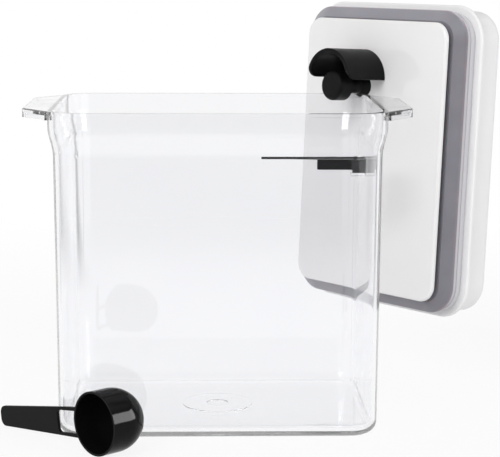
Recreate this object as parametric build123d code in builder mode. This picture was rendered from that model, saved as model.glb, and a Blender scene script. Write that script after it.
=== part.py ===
from build123d import *
import os
from math import asin, atan, atan2, cos, degrees, hypot, pi, radians, sin

os.makedirs("parts", exist_ok=True)

# Milk powder container with its lid hung on a corner of the rim and its scoop lying in front.
# Millimetres, +Z up. The origin is the middle of the container's underside,
# X runs along the long side and -Y is the front.

# container
rim_length = 152.0          # outer edge of the rim, long way
rim_width = 112.5           # outer edge of the rim, short way
rim_corner = 17.0           # plan radius of the rim's corners
container_height = 146.0
wall = 2.2
floor_thickness = 3.0
lip_reach = 0.8             # how far the rim's lip stands out from the wall
lip_height = 1.6
mouth_height = 7.0          # straight band under the rim
flare_height = 13.0         # height of the curved step between body and mouth
flare_step = 2.3            # how far the mouth stands out from the body, each side
draft = 1.0                 # how much narrower the body is at its foot, each side
bottom_round = 5.5          # radius where the walls turn into the floor
floor_ring_radius = 16.5    # round pad moulded on the floor
floor_ring_rise = 0.4
gate_radius = 5.2           # shallow dimple where the mould was filled
gate_depth = 0.5

# grip tabs on the short sides
tab_reach = 11.6
tab_root_length = 88.0      # along the wall
tab_end_length = 56.0       # along the outer end
tab_corner = 7.0
tab_thickness = 2.0
tab_edge_height = 4.0
tab_edge_width = 1.8
tab_edge_round = 0.6
tab_rib_spacing = 36.0
tab_rib_width = 1.6

# leveller: a thin blade that scrapes the scoop flat
blade_length = 50.0
blade_thickness = 0.9
blade_root_width = 9.0
blade_tip_width = 2.4
blade_drop = 25.4           # top of the blade below the rim
beam_length = 24.0
beam_height = 4.6
beam_width = 4.4
beam_round = 0.9
foot_length = 7.5
foot_height = 1.4
socket_wall = 1.4
socket_depth = 8.5
seat_gap = 0.12             # clearance of parts that drop into a socket

# lid
lid_overhang = 0.0          # lid beyond the rim, each side
flange_thickness = 2.4
flange_round = 1.0
cap_inset = 2.35            # cap in from the edge of the flange, each side
cap_height = 15.6           # cap above the flange
cap_round = 4.5
cap_wall = 2.2
neck_gap = 0.8              # neck inside the mouth, each side
bead_gap = 0.3              # bead round the neck, inside the mouth, each side
bead_height = 2.4
bead_drop = 1.3             # width of the groove between flange and bead
bead_round = 0.45
web_depth = 5.9             # underside of the frame's web below the rim
web_thickness = 2.0
frame_wall = 2.2
carrier_depth = 10.0        # wall that carries the seal, below the rim
carrier_inset = 7.5         # carrier wall in from the mouth, each side
locating_lip = 2.0          # lip that centres the cap on the frame
fit_gap = 0.15              # clearance of moulded parts that push together

# seal
seal_squeeze = 0.3          # seal is larger than the mouth by this much, each side
seal_back = 6.3             # back edge of the seal below the rim
seal_band = 1.6             # band at the widest place
seal_band_round = 0.9
seal_back_round = 0.4
seal_front_inset = 5.0      # front edge in from the mouth, each side
seal_lip = 1.8              # thickness of the flared lip
seal_foot = 2.6             # thickness of the foot that grips the carrier
seal_toe = 1.0              # thickness of the edge that covers the carrier's end

# inner plate
plate_gap = 5.65            # plate in from the mouth, each side
plate_depth = 15.6          # face of the plate below the rim
plate_thickness = 2.0
plate_bevel = 1.2
plate_rib_width = 1.4
plate_rib_height = 2.5
plate_corner = 8.5
guide_radius = 2.2
guide_spacing_x = 84.0
guide_spacing_y = 56.0
guide_gap = 0.3

# press button and its lifting gear
button_radius = 25.0
button_travel = 6.0
button_wall = 2.0
button_gap = 0.5
button_round = 1.5
button_hole_round = 0.8
plate_travel = 1.6
pivot_radius = 10.0         # pivots of the rockers from the middle
pivot_height = 3.0
rocker_swing = 30.0         # degrees, from button up to button down
rocker_width = 4.0
rocker_hub = 2.2
rocker_tip = 0.9
pin_radius = 1.0
pin_gap = 0.1
yoke_radius = 7.3
yoke_bevel = 0.7
yoke_thickness = 2.2
stem_radius = 3.4
contact_gap = 0.1
cheek_width = 5.0
cheek_wall = 1.6
cheek_rise = 2.6
spring_radius = 4.6
spring_wire = 0.9
spring_turns = 6
spring_sides = 8            # the wire is drawn eight-sided

# screws
screw_radius = 1.4
screw_head_radius = 2.8
screw_head_height = 1.8
screw_pilot = 1.4
boss_radius = 3.6
cap_screw_inset = 7.0       # screws in from the inside of the carrier wall
cap_screw_length = 10.0
drive_radius = 1.2
drive_depth = 1.0

# scoop holder on the inner plate: a post whose neck hooks over the rim, under a shield
holder_offset = 34.4        # post from the middle of the lid, towards one end
holder_side = 5.8           # and this far to one side
holder_length = 25.4
shield_lift = 3.6           # middle of the shield's curve beyond the post's
shield_radius = 14.6
shield_wall = 1.9
shield_front_round = 6.0
shield_edge_round = 0.5
neck_radius = 3.7
neck_foot_radius = 5.4      # at the plate
neck_foot_length = 4.2
neck_length = 11.2          # from the plate to where the head begins to widen
head_radius = 7.2
head_slope = 3.2            # length over which the head widens
head_setback = 2.8          # head ends this far short of the shield
head_round = 1.6
holder_base = 1.6
holder_screw_length = 9.0

# scoop
scoop_radius = 14.2
scoop_wall = 0.95
scoop_barrel = 9.5          # straight part above the round bottom
handle_length = 69.5        # from the middle of the cup to the end
handle_root_width = 14.6
handle_tip_width = 9.0
handle_thickness = 1.4
handle_tip_round = 3.4
window_length = 12.0        # from the cup's edge
window_border = 2.3
window_corner = 1.8

# how the pieces are set out
lid_yaw = 50.5              # turn of the hung lid's face from the front
lid_tilt = 3.2              # top of the lid leans back by this
lid_short_of_side = 0.7     # middle of the inner plate short of the rim's right edge
lid_short_of_back = 4.25    # and of the rim's back edge
hook_reach = 6.1            # rim's corner from the plate, where the neck rests on it
rest_gap = 0.15
scoop_turn = 48.0           # the scoop's mouth faces this far left of the front
scoop_inside_left = 22.3    # middle of the scoop's mouth in from the rim's left edge
scoop_before_front = 20.75  # and in front of the rim's front edge

# sizes that follow from those above
mouth_outer_length = rim_length - 2 * lip_reach
mouth_outer_width = rim_width - 2 * lip_reach
mouth_outer_corner = rim_corner - lip_reach
mouth_length = mouth_outer_length - 2 * wall
mouth_width = mouth_outer_width - 2 * wall
mouth_corner = mouth_outer_corner - wall
body_top = container_height - mouth_height - flare_height
body_length = mouth_outer_length - 2 * flare_step
body_width = mouth_outer_width - 2 * flare_step
body_corner = mouth_outer_corner - flare_step
draft_angle = degrees(atan(draft / body_top))
lid_length = rim_length + 2 * lid_overhang
lid_width = rim_width + 2 * lid_overhang
lid_corner = rim_corner + lid_overhang
carrier_length = mouth_length - 2 * carrier_inset
carrier_width = mouth_width - 2 * carrier_inset
carrier_corner = mouth_corner - carrier_inset
cap_screw_spacing_x = carrier_length - 2 * (frame_wall + cap_screw_inset)
cap_screw_spacing_y = carrier_width - 2 * (frame_wall + cap_screw_inset)
web_top = web_thickness - web_depth
cap_top = flange_thickness + cap_height
outer_arm = button_radius - button_wall / 2 - pivot_radius
inner_arm = plate_travel / (2 * sin(radians(rocker_swing / 2)))
half_swing = radians(rocker_swing / 2)
skirt_foot = pivot_height + outer_arm * sin(half_swing) + rocker_tip + contact_gap
yoke_foot = pivot_height - inner_arm * sin(half_swing) + rocker_tip + contact_gap
holder_x = -holder_offset


def rounded_box(length, width, corner, bottom, height, taper=0.0):
    """A block with rounded upright corners, standing on the height `bottom`."""
    with BuildPart() as block:
        with BuildSketch(Plane.XY.offset(bottom)):
            RectangleRounded(length, width, corner)
        extrude(amount=height, taper=taper)
    return block.part


def flared_body(grow, bottom):
    """The container's outer form, grown sideways by `grow`, from `bottom` up to the rim."""
    rise = body_top - bottom
    shrink = draft * rise / body_top
    with BuildPart() as form:
        with BuildSketch(Plane.XY.offset(bottom)):
            RectangleRounded(
                body_length + 2 * (grow - shrink),
                body_width + 2 * (grow - shrink),
                body_corner + grow - shrink,
            )
        extrude(amount=rise, taper=-draft_angle)
        steps = 4
        for step in range(steps + 1):
            share = step / steps
            out = grow + flare_step * (1 - cos(pi * share)) / 2
            with BuildSketch(Plane.XY.offset(body_top + flare_height * share)):
                RectangleRounded(body_length + 2 * out, body_width + 2 * out, body_corner + out)
        loft()
        with BuildSketch(Plane.XY.offset(body_top + flare_height)):
            out = grow + flare_step
            RectangleRounded(body_length + 2 * out, body_width + 2 * out, body_corner + out)
        extrude(amount=mouth_height)
        foot = form.edges().group_by(Axis.Z)[0]
        fillet(foot, max(bottom_round + grow, 1.0))
    return form.part


def keep(solid, name):
    """Label a finished piece and write it to its own file."""
    solid.label = name
    export_step(solid, "parts/" + name + ".step")


# container body
cavity = flared_body(-wall, floor_thickness)
rim_z = container_height
blade_top = container_height - blade_drop
beam_foot = blade_top - blade_thickness - beam_height
foot_bottom = beam_foot - foot_height
socket_wall_x = body_length / 2 - draft * (body_top - blade_top) / body_top - wall


def tab_block(inset, height):
    """Both grip tabs in one block, drawn in by `inset`, from the tabs' underside up."""
    root_x = rim_length / 2
    end_x = root_x + tab_reach
    root_y = tab_root_length / 2
    end_y = tab_end_length / 2
    with BuildPart() as block:
        with BuildSketch(Plane.XY.offset(rim_z - tab_edge_height)) as outline:
            with BuildLine():
                Polyline(
                    (end_x, -end_y),
                    (end_x, end_y),
                    (root_x, root_y),
                    (-root_x, root_y),
                    (-end_x, end_y),
                    (-end_x, -end_y),
                    (-root_x, -root_y),
                    (root_x, -root_y),
                    close=True,
                )
            make_face()
            far_corners = vertices().group_by(Axis.X)
            fillet(far_corners[0] + far_corners[-1], tab_corner)
            if inset > 0:
                offset(outline.sketch_local, amount=-inset, mode=Mode.REPLACE)
        extrude(amount=height)
    return block.part


with BuildPart() as grip_tabs:
    add(tab_block(0, tab_edge_height))
    fillet(grip_tabs.edges().group_by(Axis.Z)[-1], tab_edge_round)
    add(tab_block(tab_edge_width, tab_edge_height - tab_thickness), mode=Mode.SUBTRACT)
    # short ribs stiffen each tab from below
    with BuildSketch(Plane.XY.offset(rim_z - tab_edge_height)):
        with GridLocations(0, tab_rib_spacing, 1, 2):
            Rectangle(rim_length + 2 * (tab_reach - tab_edge_width), tab_rib_width)
    extrude(amount=tab_edge_height - tab_thickness)

with BuildPart() as container_body:
    add(flared_body(0, 0))
    add(grip_tabs.part)
    add(rounded_box(rim_length, rim_width, rim_corner, rim_z - lip_height, lip_height))
    add(cavity, mode=Mode.SUBTRACT)
    # round pad on the floor with the mould's filling mark in it
    with BuildSketch(Plane.XY.offset(floor_thickness)):
        Circle(floor_ring_radius)
    extrude(amount=floor_ring_rise)
    with BuildSketch(Plane.XY.offset(floor_thickness + floor_ring_rise)):
        Circle(gate_radius)
    extrude(amount=-gate_depth, mode=Mode.SUBTRACT)
    # socket on the right wall that holds the leveller's beam
    socket_height = blade_top - blade_thickness - seat_gap - foot_bottom + socket_wall + seat_gap
    with BuildSketch(Plane.XY.offset(foot_bottom - seat_gap - socket_wall)):
        with Locations((socket_wall_x + (wall / 2 - socket_depth) / 2, 0)):
            Rectangle(socket_depth + wall / 2, beam_width + 2 * (seat_gap + socket_wall))
    extrude(amount=socket_height)
    with BuildSketch(Plane.XY.offset(foot_bottom - seat_gap)):
        with Locations((socket_wall_x - socket_depth, 0)):
            Rectangle(2 * socket_depth, beam_width + 2 * seat_gap)
    extrude(amount=socket_height + beam_height, mode=Mode.SUBTRACT)
keep(container_body.part, "container_body")

# leveller
root_x = socket_wall_x - seat_gap
with BuildPart() as leveller:
    with BuildSketch(Plane.XY.offset(blade_top - blade_thickness)):
        with BuildLine():
            Polyline(
                (root_x, -blade_root_width / 2),
                (root_x - blade_length, blade_root_width / 2 - blade_tip_width),
                (root_x - blade_length, blade_root_width / 2),
                (root_x, blade_root_width / 2),
                close=True,
            )
        make_face()
        fillet(vertices().group_by(Axis.X)[0], beam_round)
    extrude(amount=blade_thickness)
    with BuildSketch(Plane.XY.offset(beam_foot)):
        with Locations((root_x - beam_length / 2, 0)):
            Rectangle(beam_length, beam_width)
        fillet(vertices().group_by(Axis.X)[0], beam_round)
    extrude(amount=beam_height)
    with BuildSketch(Plane.XY.offset(foot_bottom)):
        with Locations((root_x - foot_length / 2, 0)):
            Rectangle(foot_length, beam_width)
    extrude(amount=foot_height)
keep(leveller.part, "leveller")

# The lid's pieces are drawn closed, on the container's mouth: height 0 is the rim
# and the cap is up. `hang` then carries them to where the lid hangs by its post's neck.
lid_out = Vector(sin(radians(lid_yaw)), cos(radians(lid_yaw)), 0)
lean = radians(lid_tilt)
lid_axis = lid_out * cos(lean) - Vector(0, 0, 1) * sin(lean)
lid_down = (Vector(0, 0, -1) * cos(lean) - lid_out * sin(lean))
neck_height = container_height + neck_radius + rest_gap - hook_reach * sin(lean)
plate_middle = Vector(
    rim_length / 2 - lid_short_of_side,
    rim_width / 2 - lid_short_of_back,
    neck_height - holder_offset * cos(lean),
)
hang = Plane(origin=plate_middle + lid_axis * plate_depth, x_dir=lid_down, z_dir=lid_axis).location


def keep_hung(solid, name):
    """Carry a piece of the lid to its hanging place and write it."""
    keep(solid.moved(hang), name)


# bead that runs round the frame's neck, behind the seal
with BuildPart() as neck_bead:
    add(
        rounded_box(
            mouth_length - 2 * bead_gap,
            mouth_width - 2 * bead_gap,
            mouth_corner - bead_gap,
            -bead_drop - bead_height,
            bead_height,
        )
    )
    bead_edges = neck_bead.edges().group_by(Axis.Z)
    fillet(bead_edges[0] + bead_edges[-1], bead_round)

# lid frame: flange, neck, web, seal carrier and the pivots of the rockers
with BuildPart() as lid_frame:
    add(rounded_box(lid_length, lid_width, lid_corner, 0, flange_thickness))
    fillet(lid_frame.edges().group_by(Axis.Z)[0] + lid_frame.edges().group_by(Axis.Z)[-1], flange_round)
    frame_length = mouth_length - 2 * neck_gap
    frame_width = mouth_width - 2 * neck_gap
    frame_corner = mouth_corner - neck_gap
    add(rounded_box(frame_length, frame_width, frame_corner, -web_depth, web_depth))
    add(neck_bead.part)
    inside_length = frame_length - 2 * frame_wall
    inside_width = frame_width - 2 * frame_wall
    inside_corner = frame_corner - frame_wall
    add(
        rounded_box(inside_length, inside_width, inside_corner, web_top, flange_thickness - web_top),
        mode=Mode.SUBTRACT,
    )
    # lip that centres the cap
    lip_length = lid_length - 2 * (cap_inset + cap_wall + fit_gap)
    lip_width = lid_width - 2 * (cap_inset + cap_wall + fit_gap)
    lip_corner = lid_corner - cap_inset - cap_wall - fit_gap
    add(rounded_box(lip_length, lip_width, lip_corner, flange_thickness, locating_lip))
    add(
        rounded_box(
            inside_length, inside_width, inside_corner, flange_thickness, locating_lip
        ),
        mode=Mode.SUBTRACT,
    )
    # wall that the seal is stretched over
    add(
        rounded_box(
            carrier_length, carrier_width, carrier_corner, -carrier_depth, carrier_depth - web_depth
        )
    )
    add(
        rounded_box(
            carrier_length - 2 * frame_wall,
            carrier_width - 2 * frame_wall,
            carrier_corner - frame_wall,
            -carrier_depth,
            carrier_depth - web_depth,
        ),
        mode=Mode.SUBTRACT,
    )
    # holes for the plate's stem and guides, and for the cap's screws
    with BuildSketch(Plane.XY.offset(web_top)):
        Circle(stem_radius + guide_gap)
        with GridLocations(guide_spacing_x, guide_spacing_y, 2, 2):
            Circle(guide_radius + guide_gap)
        with GridLocations(cap_screw_spacing_x, cap_screw_spacing_y, 2, 2):
            Circle(screw_radius + fit_gap)
    extrude(amount=-web_thickness, mode=Mode.SUBTRACT)
    # cheeks that hold the rockers' pins
    cheek_height = pivot_height + cheek_rise - web_top
    with BuildSketch(Plane.XY.offset(web_top)):
        with GridLocations(2 * pivot_radius, rocker_width + 2 * guide_gap + cheek_wall, 2, 2):
            Rectangle(cheek_width, cheek_wall)
    extrude(amount=cheek_height)
    with BuildSketch(Plane.XZ.offset(-rocker_width)):
        with Locations((-pivot_radius, pivot_height), (pivot_radius, pivot_height)):
            Circle(pin_radius)
    extrude(amount=2 * rocker_width, mode=Mode.SUBTRACT)
keep_hung(lid_frame.part, "lid_frame")

# lid cap
cap_length = lid_length - 2 * cap_inset
cap_width = lid_width - 2 * cap_inset
cap_corner = lid_corner - cap_inset
button_hole = button_radius + button_gap
with BuildPart() as lid_cap:
    add(rounded_box(cap_length, cap_width, cap_corner, flange_thickness, cap_height))
    fillet(lid_cap.edges().group_by(Axis.Z)[-1], cap_round)
    add(
        rounded_box(
            cap_length - 2 * cap_wall,
            cap_width - 2 * cap_wall,
            cap_corner - cap_wall,
            flange_thickness,
            cap_height - cap_wall,
        ),
        mode=Mode.SUBTRACT,
    )
    # collar that guides the button
    with BuildSketch(Plane.XY.offset(cap_top - cap_wall)):
        Circle(button_hole + cap_wall)
    extrude(amount=-cap_height / 2)
    with BuildSketch(Plane.XY.offset(cap_top)):
        Circle(button_hole)
    extrude(amount=-cap_height, mode=Mode.SUBTRACT)
    fillet(lid_cap.edges().filter_by(GeomType.CIRCLE).group_by(Axis.Z)[-1], button_hole_round)
    # bosses for the screws, standing on the frame's web
    with BuildSketch(Plane.XY.offset(web_top)):
        with GridLocations(cap_screw_spacing_x, cap_screw_spacing_y, 2, 2):
            Circle(boss_radius)
    extrude(amount=cap_top - cap_wall - web_top)
    with BuildSketch(Plane.XY.offset(web_top)):
        with GridLocations(cap_screw_spacing_x, cap_screw_spacing_y, 2, 2):
            Circle(screw_pilot)
    extrude(amount=cap_screw_length, mode=Mode.SUBTRACT)
keep_hung(lid_cap.part, "lid_cap")

# four screws hold the cap to the frame from below
with BuildPart() as cap_screws:
    with BuildSketch(Plane.XY.offset(-web_depth)):
        with GridLocations(cap_screw_spacing_x, cap_screw_spacing_y, 2, 2):
            Circle(screw_head_radius)
    extrude(amount=-screw_head_height)
    with BuildSketch(Plane.XY.offset(-web_depth)):
        with GridLocations(cap_screw_spacing_x, cap_screw_spacing_y, 2, 2):
            Circle(screw_radius)
    extrude(amount=cap_screw_length)
    with BuildSketch(Plane.XY.offset(-web_depth - screw_head_height)):
        with GridLocations(cap_screw_spacing_x, cap_screw_spacing_y, 2, 2):
            RegularPolygon(drive_radius, 6)
    extrude(amount=drive_depth, mode=Mode.SUBTRACT)
keep_hung(cap_screws.part, "cap_screws")

# seal: a foot round the carrier wall and a lip that flares out to the mouth
seal_length = mouth_length + 2 * seal_squeeze
seal_width = mouth_width + 2 * seal_squeeze
seal_corner = mouth_corner + seal_squeeze
front_length = mouth_length - 2 * seal_front_inset
front_width = mouth_width - 2 * seal_front_inset
front_corner = mouth_corner - seal_front_inset
seal_front = -carrier_depth - seal_toe
band_front = -seal_back - seal_band


def seal_form(inset, front, back):
    """The seal's flared outer form, drawn in by `inset`."""
    with BuildPart() as form:
        with BuildSketch(Plane.XY.offset(front)):
            RectangleRounded(front_length - 2 * inset, front_width - 2 * inset, front_corner - inset)
        with BuildSketch(Plane.XY.offset(band_front)):
            RectangleRounded(seal_length - 2 * inset, seal_width - 2 * inset, seal_corner - inset)
        loft(ruled=True)
        with BuildSketch(Plane.XY.offset(band_front)):
            RectangleRounded(seal_length - 2 * inset, seal_width - 2 * inset, seal_corner - inset)
        extrude(amount=back - band_front)
    return form.part


with BuildPart() as seal:
    add(seal_form(0, seal_front, -seal_back))
    fillet(seal.edges().group_by(Axis.Z)[-1], seal_back_round)
    band_edge = seal.edges().filter_by_position(Axis.Z, band_front - fit_gap, band_front + fit_gap)
    fillet(band_edge, seal_band_round)
    # the back is hollow, so that the lip can bend
    add(seal_form(seal_lip, seal_front + seal_lip, -seal_back), mode=Mode.SUBTRACT)
    foot_outer = rounded_box(
        carrier_length + 2 * seal_foot,
        carrier_width + 2 * seal_foot,
        carrier_corner + seal_foot,
        seal_front + seal_lip / 2,
        -seal_back - seal_front - seal_lip / 2,
    )
    add(foot_outer)
    add(
        rounded_box(carrier_length, carrier_width, carrier_corner, -carrier_depth, carrier_depth),
        mode=Mode.SUBTRACT,
    )
    add(
        rounded_box(
            carrier_length - 2 * frame_wall,
            carrier_width - 2 * frame_wall,
            carrier_corner - frame_wall,
            seal_front,
            seal_toe,
        ),
        mode=Mode.SUBTRACT,
    )
keep_hung(seal.part, "seal")

# inner plate with its stem and guides
plate_length = mouth_length - 2 * plate_gap
plate_width = mouth_width - 2 * plate_gap
plate_back = plate_thickness - plate_depth
with BuildPart() as inner_plate:
    add(rounded_box(plate_length, plate_width, plate_corner, -plate_depth, plate_thickness))
    fillet(inner_plate.edges().group_by(Axis.Z)[0], plate_bevel)
    # ribs join the stem and the guides
    with BuildSketch(Plane.XY.offset(plate_back)):
        with GridLocations(0, guide_spacing_y / 2, 1, 3):
            Rectangle(guide_spacing_x, plate_rib_width)
        with GridLocations(guide_spacing_x / 2, 0, 3, 1):
            Rectangle(plate_rib_width, guide_spacing_y)
    extrude(amount=plate_rib_height)
    with BuildSketch(Plane.XY.offset(plate_back)):
        Circle(stem_radius)
        with GridLocations(guide_spacing_x, guide_spacing_y, 2, 2):
            Circle(guide_radius)
    extrude(amount=web_top + 2 * plate_travel - plate_back)
    with BuildSketch(Plane.XY.offset(web_top + 2 * plate_travel)):
        Circle(screw_pilot)
    extrude(amount=-cap_screw_length, mode=Mode.SUBTRACT)
    with BuildSketch(Plane.XY.offset(-plate_depth)):
        with Locations((holder_x, holder_side)):
            Circle(screw_radius + fit_gap)
    extrude(amount=plate_thickness, mode=Mode.SUBTRACT)
keep_hung(inner_plate.part, "inner_plate")

# yoke that the rockers lift, on top of the plate's stem
stem_top = web_top + 2 * plate_travel
with BuildPart() as lift_yoke:
    with BuildSketch(Plane.XY.offset(yoke_foot)):
        Circle(yoke_radius)
    extrude(amount=yoke_thickness)
    chamfer(lift_yoke.edges().group_by(Axis.Z)[0], yoke_bevel)
    with BuildSketch(Plane.XY.offset(stem_top)):
        Circle(stem_radius)
    extrude(amount=yoke_foot - stem_top)
    with BuildSketch(Plane.XY.offset(yoke_foot + yoke_thickness)):
        Circle(screw_head_radius + fit_gap)
    extrude(amount=-yoke_thickness / 2, mode=Mode.SUBTRACT)
    with BuildSketch(Plane.XY.offset(stem_top)):
        Circle(screw_radius + fit_gap)
    extrude(amount=yoke_foot + yoke_thickness - stem_top, mode=Mode.SUBTRACT)
keep_hung(lift_yoke.part, "lift_yoke")

with BuildPart() as yoke_screw:
    head_seat = yoke_foot + yoke_thickness / 2
    with BuildSketch(Plane.XY.offset(head_seat)):
        Circle(screw_head_radius)
    extrude(amount=screw_head_height)
    with BuildSketch(Plane.XY.offset(head_seat)):
        Circle(screw_radius)
    extrude(amount=-cap_screw_length)
    with BuildSketch(Plane.XY.offset(head_seat + screw_head_height)):
        RegularPolygon(drive_radius, 6)
    extrude(amount=-drive_depth, mode=Mode.SUBTRACT)
keep_hung(yoke_screw.part, "yoke_screw")

# press button, drawn standing up out of the cap
button_top = cap_top + button_travel
with BuildPart() as push_button:
    with BuildSketch(Plane.XY.offset(skirt_foot)):
        Circle(button_radius)
    extrude(amount=button_top - skirt_foot)
    fillet(push_button.edges().group_by(Axis.Z)[-1], button_round)
    with BuildSketch(Plane.XY.offset(skirt_foot)):
        Circle(button_radius - button_wall)
    extrude(amount=button_top - button_wall - skirt_foot, mode=Mode.SUBTRACT)
    # ring that keeps the spring in the middle
    with BuildSketch(Plane.XY.offset(button_top - button_wall)):
        Circle(spring_radius + spring_wire + button_wall)
        Circle(spring_radius + spring_wire, mode=Mode.SUBTRACT)
    extrude(amount=-2 * button_wall)
keep_hung(push_button.part, "push_button")

# spring that pushes button and yoke apart
spring_foot = yoke_foot + yoke_thickness
spring_height = button_top - button_wall - spring_foot
with BuildPart() as button_spring:
    coil_height = spring_height - spring_wire - 2 * contact_gap
    coil = Helix(
        pitch=coil_height / spring_turns,
        height=coil_height,
        radius=spring_radius,
        center=(0, 0, spring_foot + spring_wire / 2 + contact_gap),
    )
    with BuildSketch(Plane(origin=coil @ 0, z_dir=coil % 0)):
        RegularPolygon(spring_wire / 2, spring_sides)
    sweep(path=coil, is_frenet=True)
keep_hung(button_spring.part, "button_spring")

# two rockers turn the push of the button into the lift of the plate
def rocker(side):
    """One rocker, pointing out to `side` (1 or -1), with the button up."""
    arm = Plane(
        origin=(side * pivot_radius, 0, pivot_height),
        x_dir=(side * cos(half_swing), 0, sin(half_swing)),
        z_dir=(0, -side, 0),
    )
    with BuildPart() as lever:
        with BuildSketch(arm.offset(-rocker_width / 2)):
            SlotCenterPoint((outer_arm / 2, 0), (outer_arm, 0), 2 * rocker_tip)
            SlotCenterPoint((-inner_arm / 2, 0), (-inner_arm, 0), 2 * rocker_tip)
            Circle(rocker_hub)
            Circle(pin_radius + pin_gap, mode=Mode.SUBTRACT)
        extrude(amount=rocker_width)
    return lever.part


keep_hung(rocker(-1), "rocker_left")
keep_hung(rocker(1), "rocker_right")

with BuildPart() as rocker_pins:
    pin_length = rocker_width + 2 * guide_gap + 2 * cheek_wall
    with BuildSketch(Plane.XZ.offset(-pin_length / 2)):
        with Locations((-pivot_radius, pivot_height), (pivot_radius, pivot_height)):
            Circle(pin_radius)
    extrude(amount=pin_length)
keep_hung(rocker_pins.part, "rocker_pins")

# scoop holder: the shield is half round and open towards the lid's middle
holder_face = -plate_depth
holder_end = holder_face - holder_length
shield_x = holder_x - shield_lift
with BuildPart() as shield:
    with BuildSketch(Plane.XY.offset(holder_face)):
        with Locations((shield_x, holder_side)):
            Circle(shield_radius)
            Circle(shield_radius - shield_wall, mode=Mode.SUBTRACT)
        with Locations((shield_x + shield_radius, holder_side)):
            Rectangle(2 * shield_radius, 3 * shield_radius, mode=Mode.SUBTRACT)
    extrude(amount=-holder_length)
    # its two free corners are rounded back
    with BuildSketch(Plane.XZ.offset(-holder_side - shield_radius - shield_wall)):
        with Locations((shield_x - shield_front_round / 2, holder_end + shield_front_round / 2)):
            Rectangle(shield_front_round, shield_front_round)
        with Locations((shield_x - shield_front_round, holder_end + shield_front_round)):
            Circle(shield_front_round, mode=Mode.SUBTRACT)
    extrude(amount=2 * (shield_radius + shield_wall), mode=Mode.SUBTRACT)
    fillet(shield.edges().group_by(Axis.Z)[0], shield_edge_round)

# the post's head is thicker than its neck, so that it cannot slip off the rim
with BuildPart() as post:
    with BuildSketch(Plane.XY.offset(holder_face)):
        with Locations((holder_x, holder_side)):
            Circle(neck_foot_radius)
    with BuildSketch(Plane.XY.offset(holder_face - neck_foot_length)):
        with Locations((holder_x, holder_side)):
            Circle(neck_radius)
    loft(ruled=True)
    with BuildSketch(Plane.XY.offset(holder_face - neck_foot_length)):
        with Locations((holder_x, holder_side)):
            Circle(neck_radius)
    extrude(amount=neck_foot_length - neck_length)
    with BuildSketch(Plane.XY.offset(holder_face - neck_length)):
        with Locations((holder_x, holder_side)):
            Circle(neck_radius)
    with BuildSketch(Plane.XY.offset(holder_face - neck_length - head_slope)):
        with Locations((holder_x, holder_side)):
            Circle(head_radius)
    loft(ruled=True)
    with BuildSketch(Plane.XY.offset(holder_end + head_setback)):
        with Locations((holder_x, holder_side)):
            Circle(head_radius)
    extrude(amount=holder_length - head_setback - neck_length - head_slope)
    fillet(post.edges().group_by(Axis.Z)[0], head_round)

with BuildPart() as scoop_holder:
    add(shield.part)
    add(post.part)
    # base joins shield and post
    with BuildSketch(Plane.XY.offset(holder_face)):
        with Locations((shield_x, holder_side)):
            Circle(shield_radius)
        with Locations((shield_x + shield_radius, holder_side)):
            Rectangle(2 * shield_radius, 3 * shield_radius, mode=Mode.SUBTRACT)
        with Locations((holder_x - shield_lift / 2, holder_side)):
            Rectangle(shield_lift + neck_radius / 2, 2 * neck_radius)
    extrude(amount=-holder_base)
    with BuildSketch(Plane.XY.offset(holder_face)):
        with Locations((holder_x, holder_side)):
            Circle(screw_pilot)
    extrude(amount=-holder_screw_length, mode=Mode.SUBTRACT)
keep_hung(scoop_holder.part, "scoop_holder")

with BuildPart() as holder_screw:
    screw_seat = plate_back
    with BuildSketch(Plane.XY.offset(screw_seat)):
        with Locations((holder_x, holder_side)):
            Circle(screw_head_radius)
    extrude(amount=screw_head_height)
    with BuildSketch(Plane.XY.offset(screw_seat)):
        with Locations((holder_x, holder_side)):
            Circle(screw_radius)
    extrude(amount=-holder_screw_length)
    with BuildSketch(Plane.XY.offset(screw_seat + screw_head_height)):
        with Locations((holder_x, holder_side)):
            RegularPolygon(drive_radius, 6)
    extrude(amount=-drive_depth, mode=Mode.SUBTRACT)
keep_hung(holder_screw.part, "holder_screw")

# scoop, drawn with its mouth up at height 0 and its handle along +X
with BuildPart() as scoop:
    with BuildSketch(Plane.XZ):
        with BuildLine():
            Line((0, 0), (scoop_radius, 0))
            Line((scoop_radius, 0), (scoop_radius, -scoop_barrel))
            RadiusArc((scoop_radius, -scoop_barrel), (0, -scoop_barrel - scoop_radius), scoop_radius)
            Line((0, -scoop_barrel - scoop_radius), (0, 0))
        make_face()
    revolve(axis=Axis.Z)
    with BuildSketch(Plane.XY.offset(-handle_thickness)):
        with BuildLine():
            Polyline(
                (0, -handle_root_width / 2),
                (handle_length, -handle_tip_width / 2),
                (handle_length, handle_tip_width / 2),
                (0, handle_root_width / 2),
                close=True,
            )
        make_face()
        fillet(vertices().group_by(Axis.X)[-1], handle_tip_round)
        # the window's inner end is closed by the cup itself
        window_inner = scoop_radius / 2
        with Locations(((window_inner + scoop_radius + window_length) / 2, 0)):
            RectangleRounded(
                scoop_radius + window_length - window_inner,
                handle_root_width - 2 * window_border,
                window_corner,
                mode=Mode.SUBTRACT,
            )
    extrude(amount=handle_thickness)
    inner = scoop_radius - scoop_wall
    with BuildSketch(Plane.XZ):
        with BuildLine():
            Line((0, 0), (inner, 0))
            Line((inner, 0), (inner, -scoop_barrel))
            RadiusArc((inner, -scoop_barrel), (0, -scoop_barrel - inner), inner)
            Line((0, -scoop_barrel - inner), (0, 0))
        make_face()
    revolve(axis=Axis.Z, mode=Mode.SUBTRACT)

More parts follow.
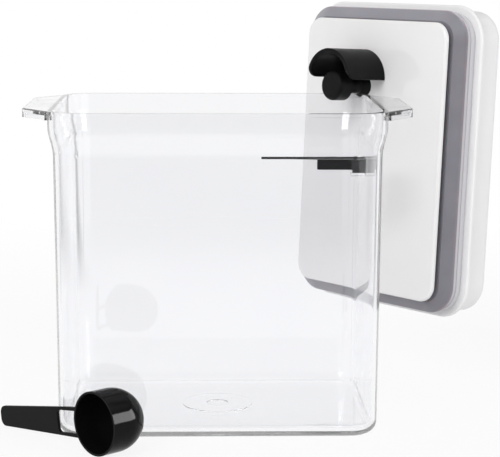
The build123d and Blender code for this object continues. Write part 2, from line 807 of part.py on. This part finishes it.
# the scoop lies on its side: the cup's edge and the handle's tip touch the surface
turn = radians(scoop_turn)
narrowing = atan((handle_root_width - handle_tip_width) / 2 / handle_length)
tip_x = handle_length - handle_tip_round
tip_y = handle_tip_width / 2 + handle_tip_round * (sin(narrowing) - 1) / cos(narrowing)
handle_dip = asin((scoop_radius - handle_tip_round) / hypot(tip_x, tip_y)) - atan2(tip_y, tip_x)
mouth_way = Vector(-sin(turn), -cos(turn), 0)
handle_way = Vector(-cos(turn), sin(turn), 0) * cos(handle_dip) - Vector(0, 0, 1) * sin(handle_dip)
scoop_place = Plane(
    origin=(scoop_inside_left - rim_length / 2, -rim_width / 2 - scoop_before_front, scoop_radius),
    x_dir=handle_way,
    z_dir=mouth_way,
).location
keep(scoop.part.moved(scoop_place), "scoop")
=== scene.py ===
import math

import bmesh
import bpy
from mathutils import Matrix, Vector


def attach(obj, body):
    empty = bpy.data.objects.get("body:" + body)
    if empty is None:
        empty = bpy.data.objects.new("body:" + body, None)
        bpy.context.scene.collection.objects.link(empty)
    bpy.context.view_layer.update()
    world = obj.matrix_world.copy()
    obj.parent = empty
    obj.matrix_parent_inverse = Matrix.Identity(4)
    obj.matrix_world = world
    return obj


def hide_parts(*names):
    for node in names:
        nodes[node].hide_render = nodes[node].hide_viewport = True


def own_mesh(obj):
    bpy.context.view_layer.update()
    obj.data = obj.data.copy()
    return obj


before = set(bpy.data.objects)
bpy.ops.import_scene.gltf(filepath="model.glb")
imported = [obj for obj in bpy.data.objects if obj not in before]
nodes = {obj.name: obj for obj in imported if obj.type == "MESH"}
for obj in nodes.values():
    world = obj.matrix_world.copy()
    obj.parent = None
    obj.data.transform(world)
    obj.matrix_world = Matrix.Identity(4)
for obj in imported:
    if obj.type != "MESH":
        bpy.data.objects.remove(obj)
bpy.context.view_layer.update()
scene = bpy.context.scene
print("frame loaded with", len(nodes), "nodes")

# the hung lid's own frame: its middle at the rim plane, and the way its cap faces
hungLid = {
    "middle": Vector((0.087319, 0.061907, 0.114292)),
    "capWay": Vector((0.770421, 0.635086, -0.055822)),
    "sideWay": Vector((-0.636078, 0.771625, 0.0)),
}
hungLid["downWay"] = hungLid["sideWay"].cross(hungLid["capWay"])
lidPlace = Matrix.Translation(hungLid["middle"]) @ Matrix(
    (hungLid["downWay"], hungLid["sideWay"], hungLid["capWay"])
).transposed().to_4x4()

# the lying scoop's cup, and the way its handle points
lyingScoop = {
    "cup": Vector((-0.0537, -0.0770, 0.0142)),
    "handleWay": Vector((-0.662068, 0.735301, -0.144914)).normalized(),
    "handleFrom": 0.0145,      # the handle's dull finish starts here, from the cup's middle
    "handleBlend": 0.0012,
}


def newMaterial(name):
    material = bpy.data.materials.new(name)
    material.use_nodes = True
    tree = material.node_tree
    tree.nodes.clear()
    out = tree.nodes.new("ShaderNodeOutputMaterial")
    return material, tree, out


def put(tree, kind, settings=None, inputs=None):
    node = tree.nodes.new(kind)
    for name, value in (settings or {}).items():
        setattr(node, name, value)
    for name, value in (inputs or {}).items():
        if isinstance(value, bpy.types.NodeSocket):
            tree.links.new(value, node.inputs[name])
        else:
            node.inputs[name].default_value = value
    return node


def maths(tree, kind, first, second=None, third=None, clamp=False):
    values = {i: v for i, v in enumerate((first, second, third)) if v is not None}
    node = put(tree, "ShaderNodeMath", {"operation": kind, "use_clamp": clamp}, values)
    return node.outputs[0]


def noiseOn(tree, scale, detail=2.0, stretch=(1.0, 1.0, 1.0)):
    where = put(tree, "ShaderNodeTexCoord").outputs["Object"]
    placed = put(tree, "ShaderNodeMapping", inputs={"Vector": where, "Scale": stretch})
    noise = put(
        tree,
        "ShaderNodeTexNoise",
        inputs={"Vector": placed.outputs["Vector"], "Scale": scale, "Detail": detail},
    )
    return noise.outputs["Fac"]


def between(tree, value, low, high, fromLow=0.3, fromHigh=0.7):
    node = put(
        tree,
        "ShaderNodeMapRange",
        inputs={
            "Value": value,
            "From Min": fromLow,
            "From Max": fromHigh,
            "To Min": low,
            "To Max": high,
        },
    )
    return node.outputs["Result"]


def blend(tree, share, first, second):
    # a mix of two numbers, whose sockets are 2 and 3
    node = put(tree, "ShaderNodeMix", inputs={"Factor": share, 2: first, 3: second})
    return node.outputs[0]


def shadeMix(tree, value, dark, light):
    # a mix of two colours, whose sockets are 6 and 7, and 2 on the way out
    node = put(tree, "ShaderNodeMix", {"data_type": "RGBA"})
    tree.links.new(value, node.inputs["Factor"])
    node.inputs[6].default_value = (*dark, 1.0)
    node.inputs[7].default_value = (*light, 1.0)
    return node.outputs[2]


def distanceAlong(tree, start, way):
    # how far a point of the piece lies from start, measured along way
    where = put(tree, "ShaderNodeTexCoord").outputs["Object"]
    offset = put(
        tree, "ShaderNodeVectorMath", {"operation": "SUBTRACT"}, {0: where, 1: start}
    ).outputs["Vector"]
    return put(
        tree, "ShaderNodeVectorMath", {"operation": "DOT_PRODUCT"}, {0: offset, 1: way}
    ).outputs["Value"]


def mouldedPlastic(look):
    # opaque moulded part: slight mottle in the colour, a fine grain in gloss and relief
    material, tree, out = newMaterial(look["name"])
    mottle = noiseOn(tree, look["mottleScale"], 3.0)
    fine = noiseOn(tree, look["grainScale"], 2.0)
    bump = put(
        tree,
        "ShaderNodeBump",
        inputs={"Height": fine, "Strength": look["grainStrength"], "Distance": look["grainDepth"]},
    )
    shell = put(
        tree,
        "ShaderNodeBsdfPrincipled",
        inputs={
            "Base Color": shadeMix(
                tree, between(tree, mottle, 0.0, 1.0), look["dark"], look["light"]
            ),
            "Roughness": between(tree, mottle, look["roughLow"], look["roughHigh"]),
            "Normal": bump.outputs["Normal"],
            "IOR": 1.5,
            "Metallic": look.get("metal", 0.0),
            "Specular IOR Level": look.get("shine", 0.5),
            "Sheen Weight": look.get("sheen", 0.0),
            "Subsurface Weight": look.get("depth", 0.0),
            "Subsurface Scale": look.get("depthScale", 0.0),
        },
    )
    tree.links.new(shell.outputs[0], out.inputs["Surface"])
    return material, tree, shell, fine, mottle


def clearPlastic(look):
    # clear moulded wall: bends light, and lets the lamps through to what stands behind it
    material, tree, out = newMaterial(look["name"])
    flow = noiseOn(tree, look["flowScale"], 1.0, look["flowStretch"])
    haze = noiseOn(tree, look["hazeScale"], 3.0)
    bump = put(
        tree,
        "ShaderNodeBump",
        inputs={"Height": flow, "Strength": look["flowStrength"], "Distance": look["flowDepth"]},
    )
    wall = put(
        tree,
        "ShaderNodeBsdfPrincipled",
        inputs={
            "Base Color": shadeMix(
                tree, between(tree, haze, 0.0, 1.0), look["dark"], look["light"]
            ),
            "Roughness": between(tree, haze, look["roughLow"], look["roughHigh"]),
            "Normal": bump.outputs["Normal"],
            "IOR": look["ior"],
            "Transmission Weight": 1.0,
        },
    )
    lampWay = put(tree, "ShaderNodeBsdfTransparent", inputs={"Color": (*look["lampTint"], 1.0)})
    rays = put(tree, "ShaderNodeLightPath")
    toLamps = maths(
        tree, "MAXIMUM", rays.outputs["Is Shadow Ray"], rays.outputs["Is Diffuse Ray"]
    )
    trapped = between(tree, rays.outputs["Ray Depth"], 0.0, 1.0, *look["trappedTurns"])
    through = maths(tree, "MAXIMUM", toLamps, trapped)
    either = put(tree, "ShaderNodeMixShader", inputs={"Fac": through})
    tree.links.new(wall.outputs[0], either.inputs[1])
    tree.links.new(lampWay.outputs[0], either.inputs[2])
    tree.links.new(either.outputs[0], out.inputs["Surface"])
    return material


# finishes
clearLook = {
    "name": "clear_moulding",
    "dark": (0.975, 0.977, 0.992),
    "light": (0.983, 0.985, 0.996),
    "roughLow": 0.0,
    "roughHigh": 0.03,
    "hazeScale": 35.0,
    "flowScale": 14.0,
    "flowStretch": (1.0, 1.0, 0.35),
    "flowStrength": 0.15,
    "flowDepth": 0.0006,
    "ior": 1.49,
    "lampTint": (0.985, 0.985, 0.987),
    "trappedTurns": (4.5, 10.0),    # light caught in an edge leaves it over these turns
}
whiteGlossLook = {
    "name": "white_gloss_moulding",
    "dark": (0.840, 0.831, 0.829),
    "light": (0.860, 0.851, 0.849),
    "roughLow": 0.06,
    "roughHigh": 0.09,
    "mottleScale": 30.0,
    "grainScale": 900.0,
    "grainStrength": 0.06,
    "grainDepth": 0.0002,
}
whiteSatinLook = {
    "name": "white_satin_moulding",
    "dark": (0.850, 0.846, 0.848),
    "light": (0.870, 0.866, 0.868),
    "shine": 0.3,
    "roughLow": 0.28,
    "roughHigh": 0.36,
    "mottleScale": 24.0,
    "grainScale": 1400.0,
    "grainStrength": 0.10,
    "grainDepth": 0.0002,
}
sealLook = {
    "name": "grey_silicone",
    "dark": (0.186, 0.181, 0.206),
    "light": (0.212, 0.206, 0.235),
    "roughLow": 0.42,
    "roughHigh": 0.52,
    "mottleScale": 60.0,
    "grainScale": 2200.0,
    "grainStrength": 0.15,
    "grainDepth": 0.0002,
    "sheen": 0.45,
    "depth": 0.5,
    "depthScale": 0.004,
}
blackSatinLook = {
    "name": "black_satin_moulding",
    "dark": (0.0045, 0.0045, 0.0050),
    "light": (0.0065, 0.0065, 0.0072),
    "shine": 0.10,
    "roughLow": 0.34,
    "roughHigh": 0.44,
    "mottleScale": 90.0,
    "grainScale": 2600.0,
    "grainStrength": 0.25,
    "grainDepth": 0.0002,
}
bladeLook = {
    "name": "black_blade_moulding",
    "dark": (0.0020, 0.0020, 0.0032),
    "light": (0.0030, 0.0030, 0.0046),
    "shine": 0.03,
    "roughLow": 0.50,
    "roughHigh": 0.60,
    "mottleScale": 90.0,
    "grainScale": 2600.0,
    "grainStrength": 0.20,
    "grainDepth": 0.0002,
}
scoopLook = {
    "name": "black_scoop_moulding",
    "dark": (0.0050, 0.0050, 0.0055),
    "light": (0.0070, 0.0070, 0.0075),
    "shine": 0.07,
    "roughLow": 0.07,
    "roughHigh": 0.11,
    "handleRough": 0.42,
    "mottleScale": 80.0,
    "grainScale": 2400.0,
    "grainStrength": 0.20,
    "grainDepth": 0.0002,
}
innerLook = {
    "name": "grey_inner_moulding",
    "dark": (0.42, 0.43, 0.45),
    "light": (0.46, 0.47, 0.49),
    "roughLow": 0.35,
    "roughHigh": 0.45,
    "mottleScale": 120.0,
    "grainScale": 2000.0,
    "grainStrength": 0.15,
    "grainDepth": 0.0002,
}
steelLook = {
    "name": "bright_steel",
    "dark": (0.52, 0.52, 0.54),
    "light": (0.62, 0.62, 0.64),
    "roughLow": 0.18,
    "roughHigh": 0.32,
    "mottleScale": 300.0,
    "grainScale": 3000.0,
    "grainStrength": 0.10,
    "grainDepth": 0.0001,
    "metal": 1.0,
}

frameLook = {
    **whiteSatinLook,
    "name": "white_frame_moulding",
    # painted shade: the neck and bead beside the seal get this darker grey in place of the shade
    # in their recess
    "neckPaintedShade": (0.600, 0.592, 0.618),
    "neckShadeBlend": 0.0004,
}

clearMoulding = clearPlastic(clearLook)
whiteGloss = mouldedPlastic(whiteGlossLook)[0]
whiteSatin = mouldedPlastic(whiteSatinLook)[0]
greySilicone = mouldedPlastic(sealLook)[0]
blackSatin = mouldedPlastic(blackSatinLook)[0]
blackBlade = mouldedPlastic(bladeLook)[0]
innerGrey = mouldedPlastic(innerLook)[0]
brightSteel = mouldedPlastic(steelLook)[0]


def framePlastic(look, lid):
    # white flange, with painted shade: a darker grey on the neck and bead between it and the seal,
    # standing in for the shade of that recess
    material, tree, shell = mouldedPlastic(look)[:3]
    along = distanceAlong(tree, lid["middle"], lid["capWay"])
    clearOfNeckShade = between(tree, along, 0.0, 1.0, -look["neckShadeBlend"], 0.0)
    white = shell.inputs["Base Color"].links[0].from_socket
    # the painted shade of the neck and bead is mixed into the base colour here
    neckShaded = put(tree, "ShaderNodeMix", {"data_type": "RGBA"}, {"Factor": clearOfNeckShade})
    neckShaded.inputs[6].default_value = (*look["neckPaintedShade"], 1.0)
    tree.links.new(white, neckShaded.inputs[7])
    tree.links.new(neckShaded.outputs[2], shell.inputs["Base Color"])
    return material


whiteFrame = framePlastic(frameLook, hungLid)


def scoopPlastic(look, lying):
    # polished cup and finely grained handle in one moulding
    material, tree, shell, fine, mottle = mouldedPlastic(look)
    along = distanceAlong(tree, lying["cup"], lying["handleWay"])
    start = lying["handleFrom"]
    onHandle = between(tree, along, 0.0, 1.0, start, start + lying["handleBlend"])
    cupRough = between(tree, mottle, look["roughLow"], look["roughHigh"])
    rough = blend(tree, onHandle, cupRough, look["handleRough"])
    tree.links.new(rough, shell.inputs["Roughness"])
    relief = maths(tree, "MULTIPLY", fine, onHandle)
    bump = shell.inputs["Normal"].links[0].from_node
    tree.links.new(relief, bump.inputs["Height"])
    return material


blackScoop = scoopPlastic(scoopLook, lyingScoop)

nodeFinish = {
    "container_body": clearMoulding,
    "leveller": blackBlade,
    "lid_frame": whiteFrame,
    "lid_cap": whiteSatin,
    "push_button": whiteSatin,
    "seal": greySilicone,
    "inner_plate": whiteGloss,
    "scoop_holder": blackSatin,
    "scoop": blackScoop,
    "lift_yoke": innerGrey,
    "rocker_left": innerGrey,
    "rocker_right": innerGrey,
    "rocker_pins": brightSteel,
    "yoke_screw": brightSteel,
    "holder_screw": brightSteel,
    "cap_screws": brightSteel,
    "button_spring": brightSteel,
}
for nodeName, finish in nodeFinish.items():
    for slotOf in nodes[nodeName].material_slots:
        slotOf.material = finish
print("finishes on", len(nodeFinish), "nodes")


def meshPiece(name, builder, material, body):
    data = bpy.data.meshes.new(name)
    builder.normal_update()
    builder.to_mesh(data)
    builder.free()
    piece = bpy.data.objects.new(name, data)
    scene.collection.objects.link(piece)
    data.materials.append(material)
    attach(piece, body)
    return piece


# spring under the button, wound wire with its two ends drawn flat
buttonSpring = {
    "radius": 0.0046,
    "wire": 0.00045,           # half the wire's thickness
    "turns": 6,
    "flatTurns": 0.75,
    "flatPitch": 2.1,          # rise of a flat end, in half thicknesses
    "foot": 0.00550,
    "top": 0.02185,
    "stepsPerTurn": 28,
    "sides": 10,
    "pressedShare": 0.52,      # of its length, with the button down
}


def springHeight(look, turn):
    # the first and last turns lie flat, the rest climb evenly
    flat, turns = look["flatTurns"], look["turns"]
    share = (turn - flat) / (turns - 2 * flat)
    share = min(max(share, 0.0), 1.0)
    low, high = look["foot"] + look["wire"], look["top"] - look["wire"]
    endRise = look["flatPitch"] * look["wire"]
    flatRise = endRise * min(turn, flat) / flat
    flatRise += endRise * max(turn - turns + flat, 0.0) / flat
    return low + flatRise + (high - low - 2 * endRise) * share


def springMesh(look, place):
    builder = bmesh.new()
    steps = int(look["turns"] * look["stepsPerTurn"])
    rings = []
    for step in range(steps + 1):
        turn = step / look["stepsPerTurn"]
        angle = turn * math.tau
        out = Vector((math.cos(angle), math.sin(angle), 0.0))
        middle = out * look["radius"]
        middle.z = springHeight(look, turn)
        ring = []
        for side in range(look["sides"]):
            lean = math.tau * side / look["sides"]
            rim = out * math.cos(lean) + Vector((0, 0, 1)) * math.sin(lean)
            ring.append(builder.verts.new(place @ (middle + rim * look["wire"])))
        rings.append(ring)
    for first, second in zip(rings, rings[1:]):
        for side in range(look["sides"]):
            after = (side + 1) % look["sides"]
            corners = (first[side], first[after], second[after], second[side])
            builder.faces.new(corners).smooth = True
    builder.faces.new(list(reversed(rings[0])))
    builder.faces.new(rings[-1])
    bmesh.ops.recalc_face_normals(builder, faces=builder.faces)
    return builder


springPiece = meshPiece(
    "button_spring_wire", springMesh(buttonSpring, lidPlace), brightSteel, "plate"
)
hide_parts("button_spring")
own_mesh(springPiece)
print("spring wound")


# room: white to the eye, soft dark strips for glass and gloss, a plain level for dull surfaces
room = {
    "level": 0.61,
    "stripCount": 8,
    "stripDark": 0.45,
    "stripEdge": (-0.95, -0.35),
    "nearSideDark": 0.25,
    "nearSideEdge": (-0.985, -0.86),
    "ringHeight": (0.22, 0.34, 0.52, 0.66),    # a dim ring up the walls, with soft edges
    "ringDark": 0.45,
}


def stripsAt(tree, x, y, look):
    # 1 in the open, darker in narrow strips between the eight main directions and in front
    angle = maths(tree, "ARCTAN2", y, x)
    wave = maths(tree, "COSINE", maths(tree, "MULTIPLY", angle, float(look["stripCount"])))
    low, high = look["stripEdge"]
    strips = between(tree, wave, look["stripDark"], 1.0, low, high)
    low, high = look["nearSideEdge"]
    nearSide = between(
        tree, maths(tree, "SINE", angle), look["nearSideDark"], 1.0, low, high
    )
    return maths(tree, "MULTIPLY", strips, nearSide)


def raysThatLook(tree):
    rays = put(tree, "ShaderNodeLightPath")
    bent = maths(
        tree, "MAXIMUM", rays.outputs["Is Glossy Ray"], rays.outputs["Is Transmission Ray"]
    )
    return rays.outputs["Is Camera Ray"], bent


def buildRoom(look):
    world = bpy.data.worlds.new("room")
    scene.world = world
    world.use_nodes = True
    tree = world.node_tree
    tree.nodes.clear()
    out = tree.nodes.new("ShaderNodeOutputWorld")
    way = put(tree, "ShaderNodeTexCoord").outputs["Generated"]
    parts = put(tree, "ShaderNodeSeparateXYZ", inputs={0: way}).outputs
    strips = stripsAt(tree, parts["X"], parts["Y"], look)
    fadeFrom, darkFrom, darkTo, fadeTo = look["ringHeight"]
    ringIn = between(tree, parts["Z"], 1.0, look["ringDark"], fadeFrom, darkFrom)
    ringOut = between(tree, parts["Z"], look["ringDark"], 1.0, darkTo, fadeTo)
    ring = maths(tree, "MAXIMUM", ringIn, ringOut)
    seen = maths(tree, "MULTIPLY", strips, ring)
    camera, bent = raysThatLook(tree)
    level = blend(tree, bent, look["level"], seen)
    level = blend(tree, camera, level, 1.0)
    back = put(tree, "ShaderNodeBackground", inputs={"Strength": level})
    back.inputs["Color"].default_value = (1.0, 1.0, 1.0, 1.0)
    tree.links.new(back.outputs[0], out.inputs["Surface"])


buildRoom(room)

# floor: white to the eye, keeps a faint shadow
floor = {
    "half": 4.0,
    "cells": 16,
    "dip": 0.00002,
    "colour": (0.86, 0.86, 0.87),
    "dustScale": 6.0,
    "dustDetail": 4.0,
    "dustShade": 0.99,
    "whiteNear": 0.88,         # share of plain white under the object
    "whiteFar": 1.0,
    "nearAt": 0.22,
    "farAt": 0.60,
    "stripsFrom": 0.30,        # the room's strips run over the floor beyond this
    "stripsFull": 0.55,
}


def floorMaterial(look, roomLook):
    material, tree, out = newMaterial("pale_floor")
    where = put(tree, "ShaderNodeTexCoord").outputs["Object"]
    parts = put(tree, "ShaderNodeSeparateXYZ", inputs={0: where}).outputs
    away = put(tree, "ShaderNodeVectorMath", {"operation": "LENGTH"}, {0: where}).outputs["Value"]
    strips = stripsAt(tree, parts["X"], parts["Y"], roomLook)
    reach = between(tree, away, 0.0, 1.0, look["stripsFrom"], look["stripsFull"])
    camera, bent = raysThatLook(tree)
    share = maths(tree, "MULTIPLY", reach, bent)
    seen = blend(tree, share, 1.0, strips)
    dust = noiseOn(tree, look["dustScale"], look["dustDetail"])
    dull = put(
        tree,
        "ShaderNodeBsdfDiffuse",
        inputs={
            "Color": shadeMix(
                tree,
                between(tree, dust, 0.0, 1.0),
                tuple(c * look["dustShade"] for c in look["colour"]),
                look["colour"],
            )
        },
    )
    white = put(tree, "ShaderNodeEmission", inputs={"Strength": seen})
    looking = maths(tree, "MAXIMUM", camera, bent)
    whiteness = between(
        tree, away, look["whiteNear"], look["whiteFar"], look["nearAt"], look["farAt"]
    )
    mixed = put(
        tree, "ShaderNodeMixShader", inputs={"Fac": maths(tree, "MULTIPLY", whiteness, looking)}
    )
    tree.links.new(dull.outputs[0], mixed.inputs[1])
    tree.links.new(white.outputs[0], mixed.inputs[2])
    tree.links.new(mixed.outputs[0], out.inputs["Surface"])
    return material


def floorPlane(look):
    builder = bmesh.new()
    bmesh.ops.create_grid(
        builder, x_segments=look["cells"], y_segments=look["cells"], size=look["half"]
    )
    data = bpy.data.meshes.new("pale_floor")
    builder.to_mesh(data)
    builder.free()
    plane = bpy.data.objects.new("pale_floor", data)
    plane.location.z = -look["dip"]
    scene.collection.objects.link(plane)
    data.materials.append(floorMaterial(look, room))


floorPlane(floor)
print("room and floor ready")

# soft studio lamps, with their width, height and power
lampAim = (0.0, 0.0, 0.07)     # where they face unless told otherwise
softLamps = {
    "key_left": {"at": (-1.00, -1.30, 0.95), "size": 0.9, "watts": 14.5},
    "fill_right": {"at": (1.35, -0.95, 0.55), "size": 0.7, "watts": 6.5},
    "seal_soft": {"at": (0.32, 0.25, 1.4), "size": 0.6, "watts": 14.0, "only": "seal"},
    "glint_right": {
        "at": (1.00, -0.13, 0.30),
        "size": 0.42,
        "tall": 0.50,
        "watts": 15.0,
        "glossOnly": True,
        "aim": (-0.04, -0.08, 0.02),
        "only": "scoop",
    },
}
for lampName, look in softLamps.items():
    lampData = bpy.data.lights.new(lampName, "AREA")
    lampData.shape = "RECTANGLE"
    lampData.size = look["size"]
    lampData.size_y = look.get("tall", look["size"])
    lampData.energy = look["watts"]
    lamp = bpy.data.objects.new(lampName, lampData)
    lamp.location = look["at"]
    aim = Vector(look.get("aim", lampAim)) - Vector(look["at"])
    lamp.rotation_euler = aim.to_track_quat("-Z", "Y").to_euler()
    if look.get("glossOnly"):
        lamp.visible_diffuse = False
        lamp.visible_transmission = False
    if "only" in look:
        lit = bpy.data.collections.new(lampName + "_lights")
        lit.objects.link(nodes[look["only"]])
        lamp.light_linking.receiver_collection = lit
    scene.collection.objects.link(lamp)
print(len(softLamps), "lamps hung")

# camera at the photograph's place and angle
shot = {
    "at": (-0.00693, -0.7871, 0.2138),
    "yaw": math.radians(1.615),
    "pitch": math.radians(9.15),
    "roll": math.radians(0.21),
    "sensor": 36.0,
    "lens": 122.4,
    "clip": (0.01, 50.0),
}


def placeCamera(look):
    ahead = Vector((math.sin(look["yaw"]), math.cos(look["yaw"]), 0.0))
    right = Vector((math.cos(look["yaw"]), -math.sin(look["yaw"]), 0.0))
    up = Vector((0, 0, 1)) * math.cos(look["pitch"]) + ahead * math.sin(look["pitch"])
    ahead = ahead * math.cos(look["pitch"]) - Vector((0, 0, 1)) * math.sin(look["pitch"])
    c, s = math.cos(look["roll"]), math.sin(look["roll"])
    rightNow, upNow = right * c + up * s, up * c - right * s
    data = bpy.data.cameras.new("photo_camera")
    data.sensor_width = look["sensor"]
    data.lens = look["lens"]
    data.clip_start, data.clip_end = look["clip"]
    camera = bpy.data.objects.new("photo_camera", data)
    turn = Matrix((rightNow, upNow, -ahead)).transposed().to_4x4()
    camera.matrix_world = Matrix.Translation(look["at"]) @ turn
    scene.collection.objects.link(camera)
    scene.camera = camera


placeCamera(shot)
scene.view_settings.view_transform = "Standard"
print("camera placed")
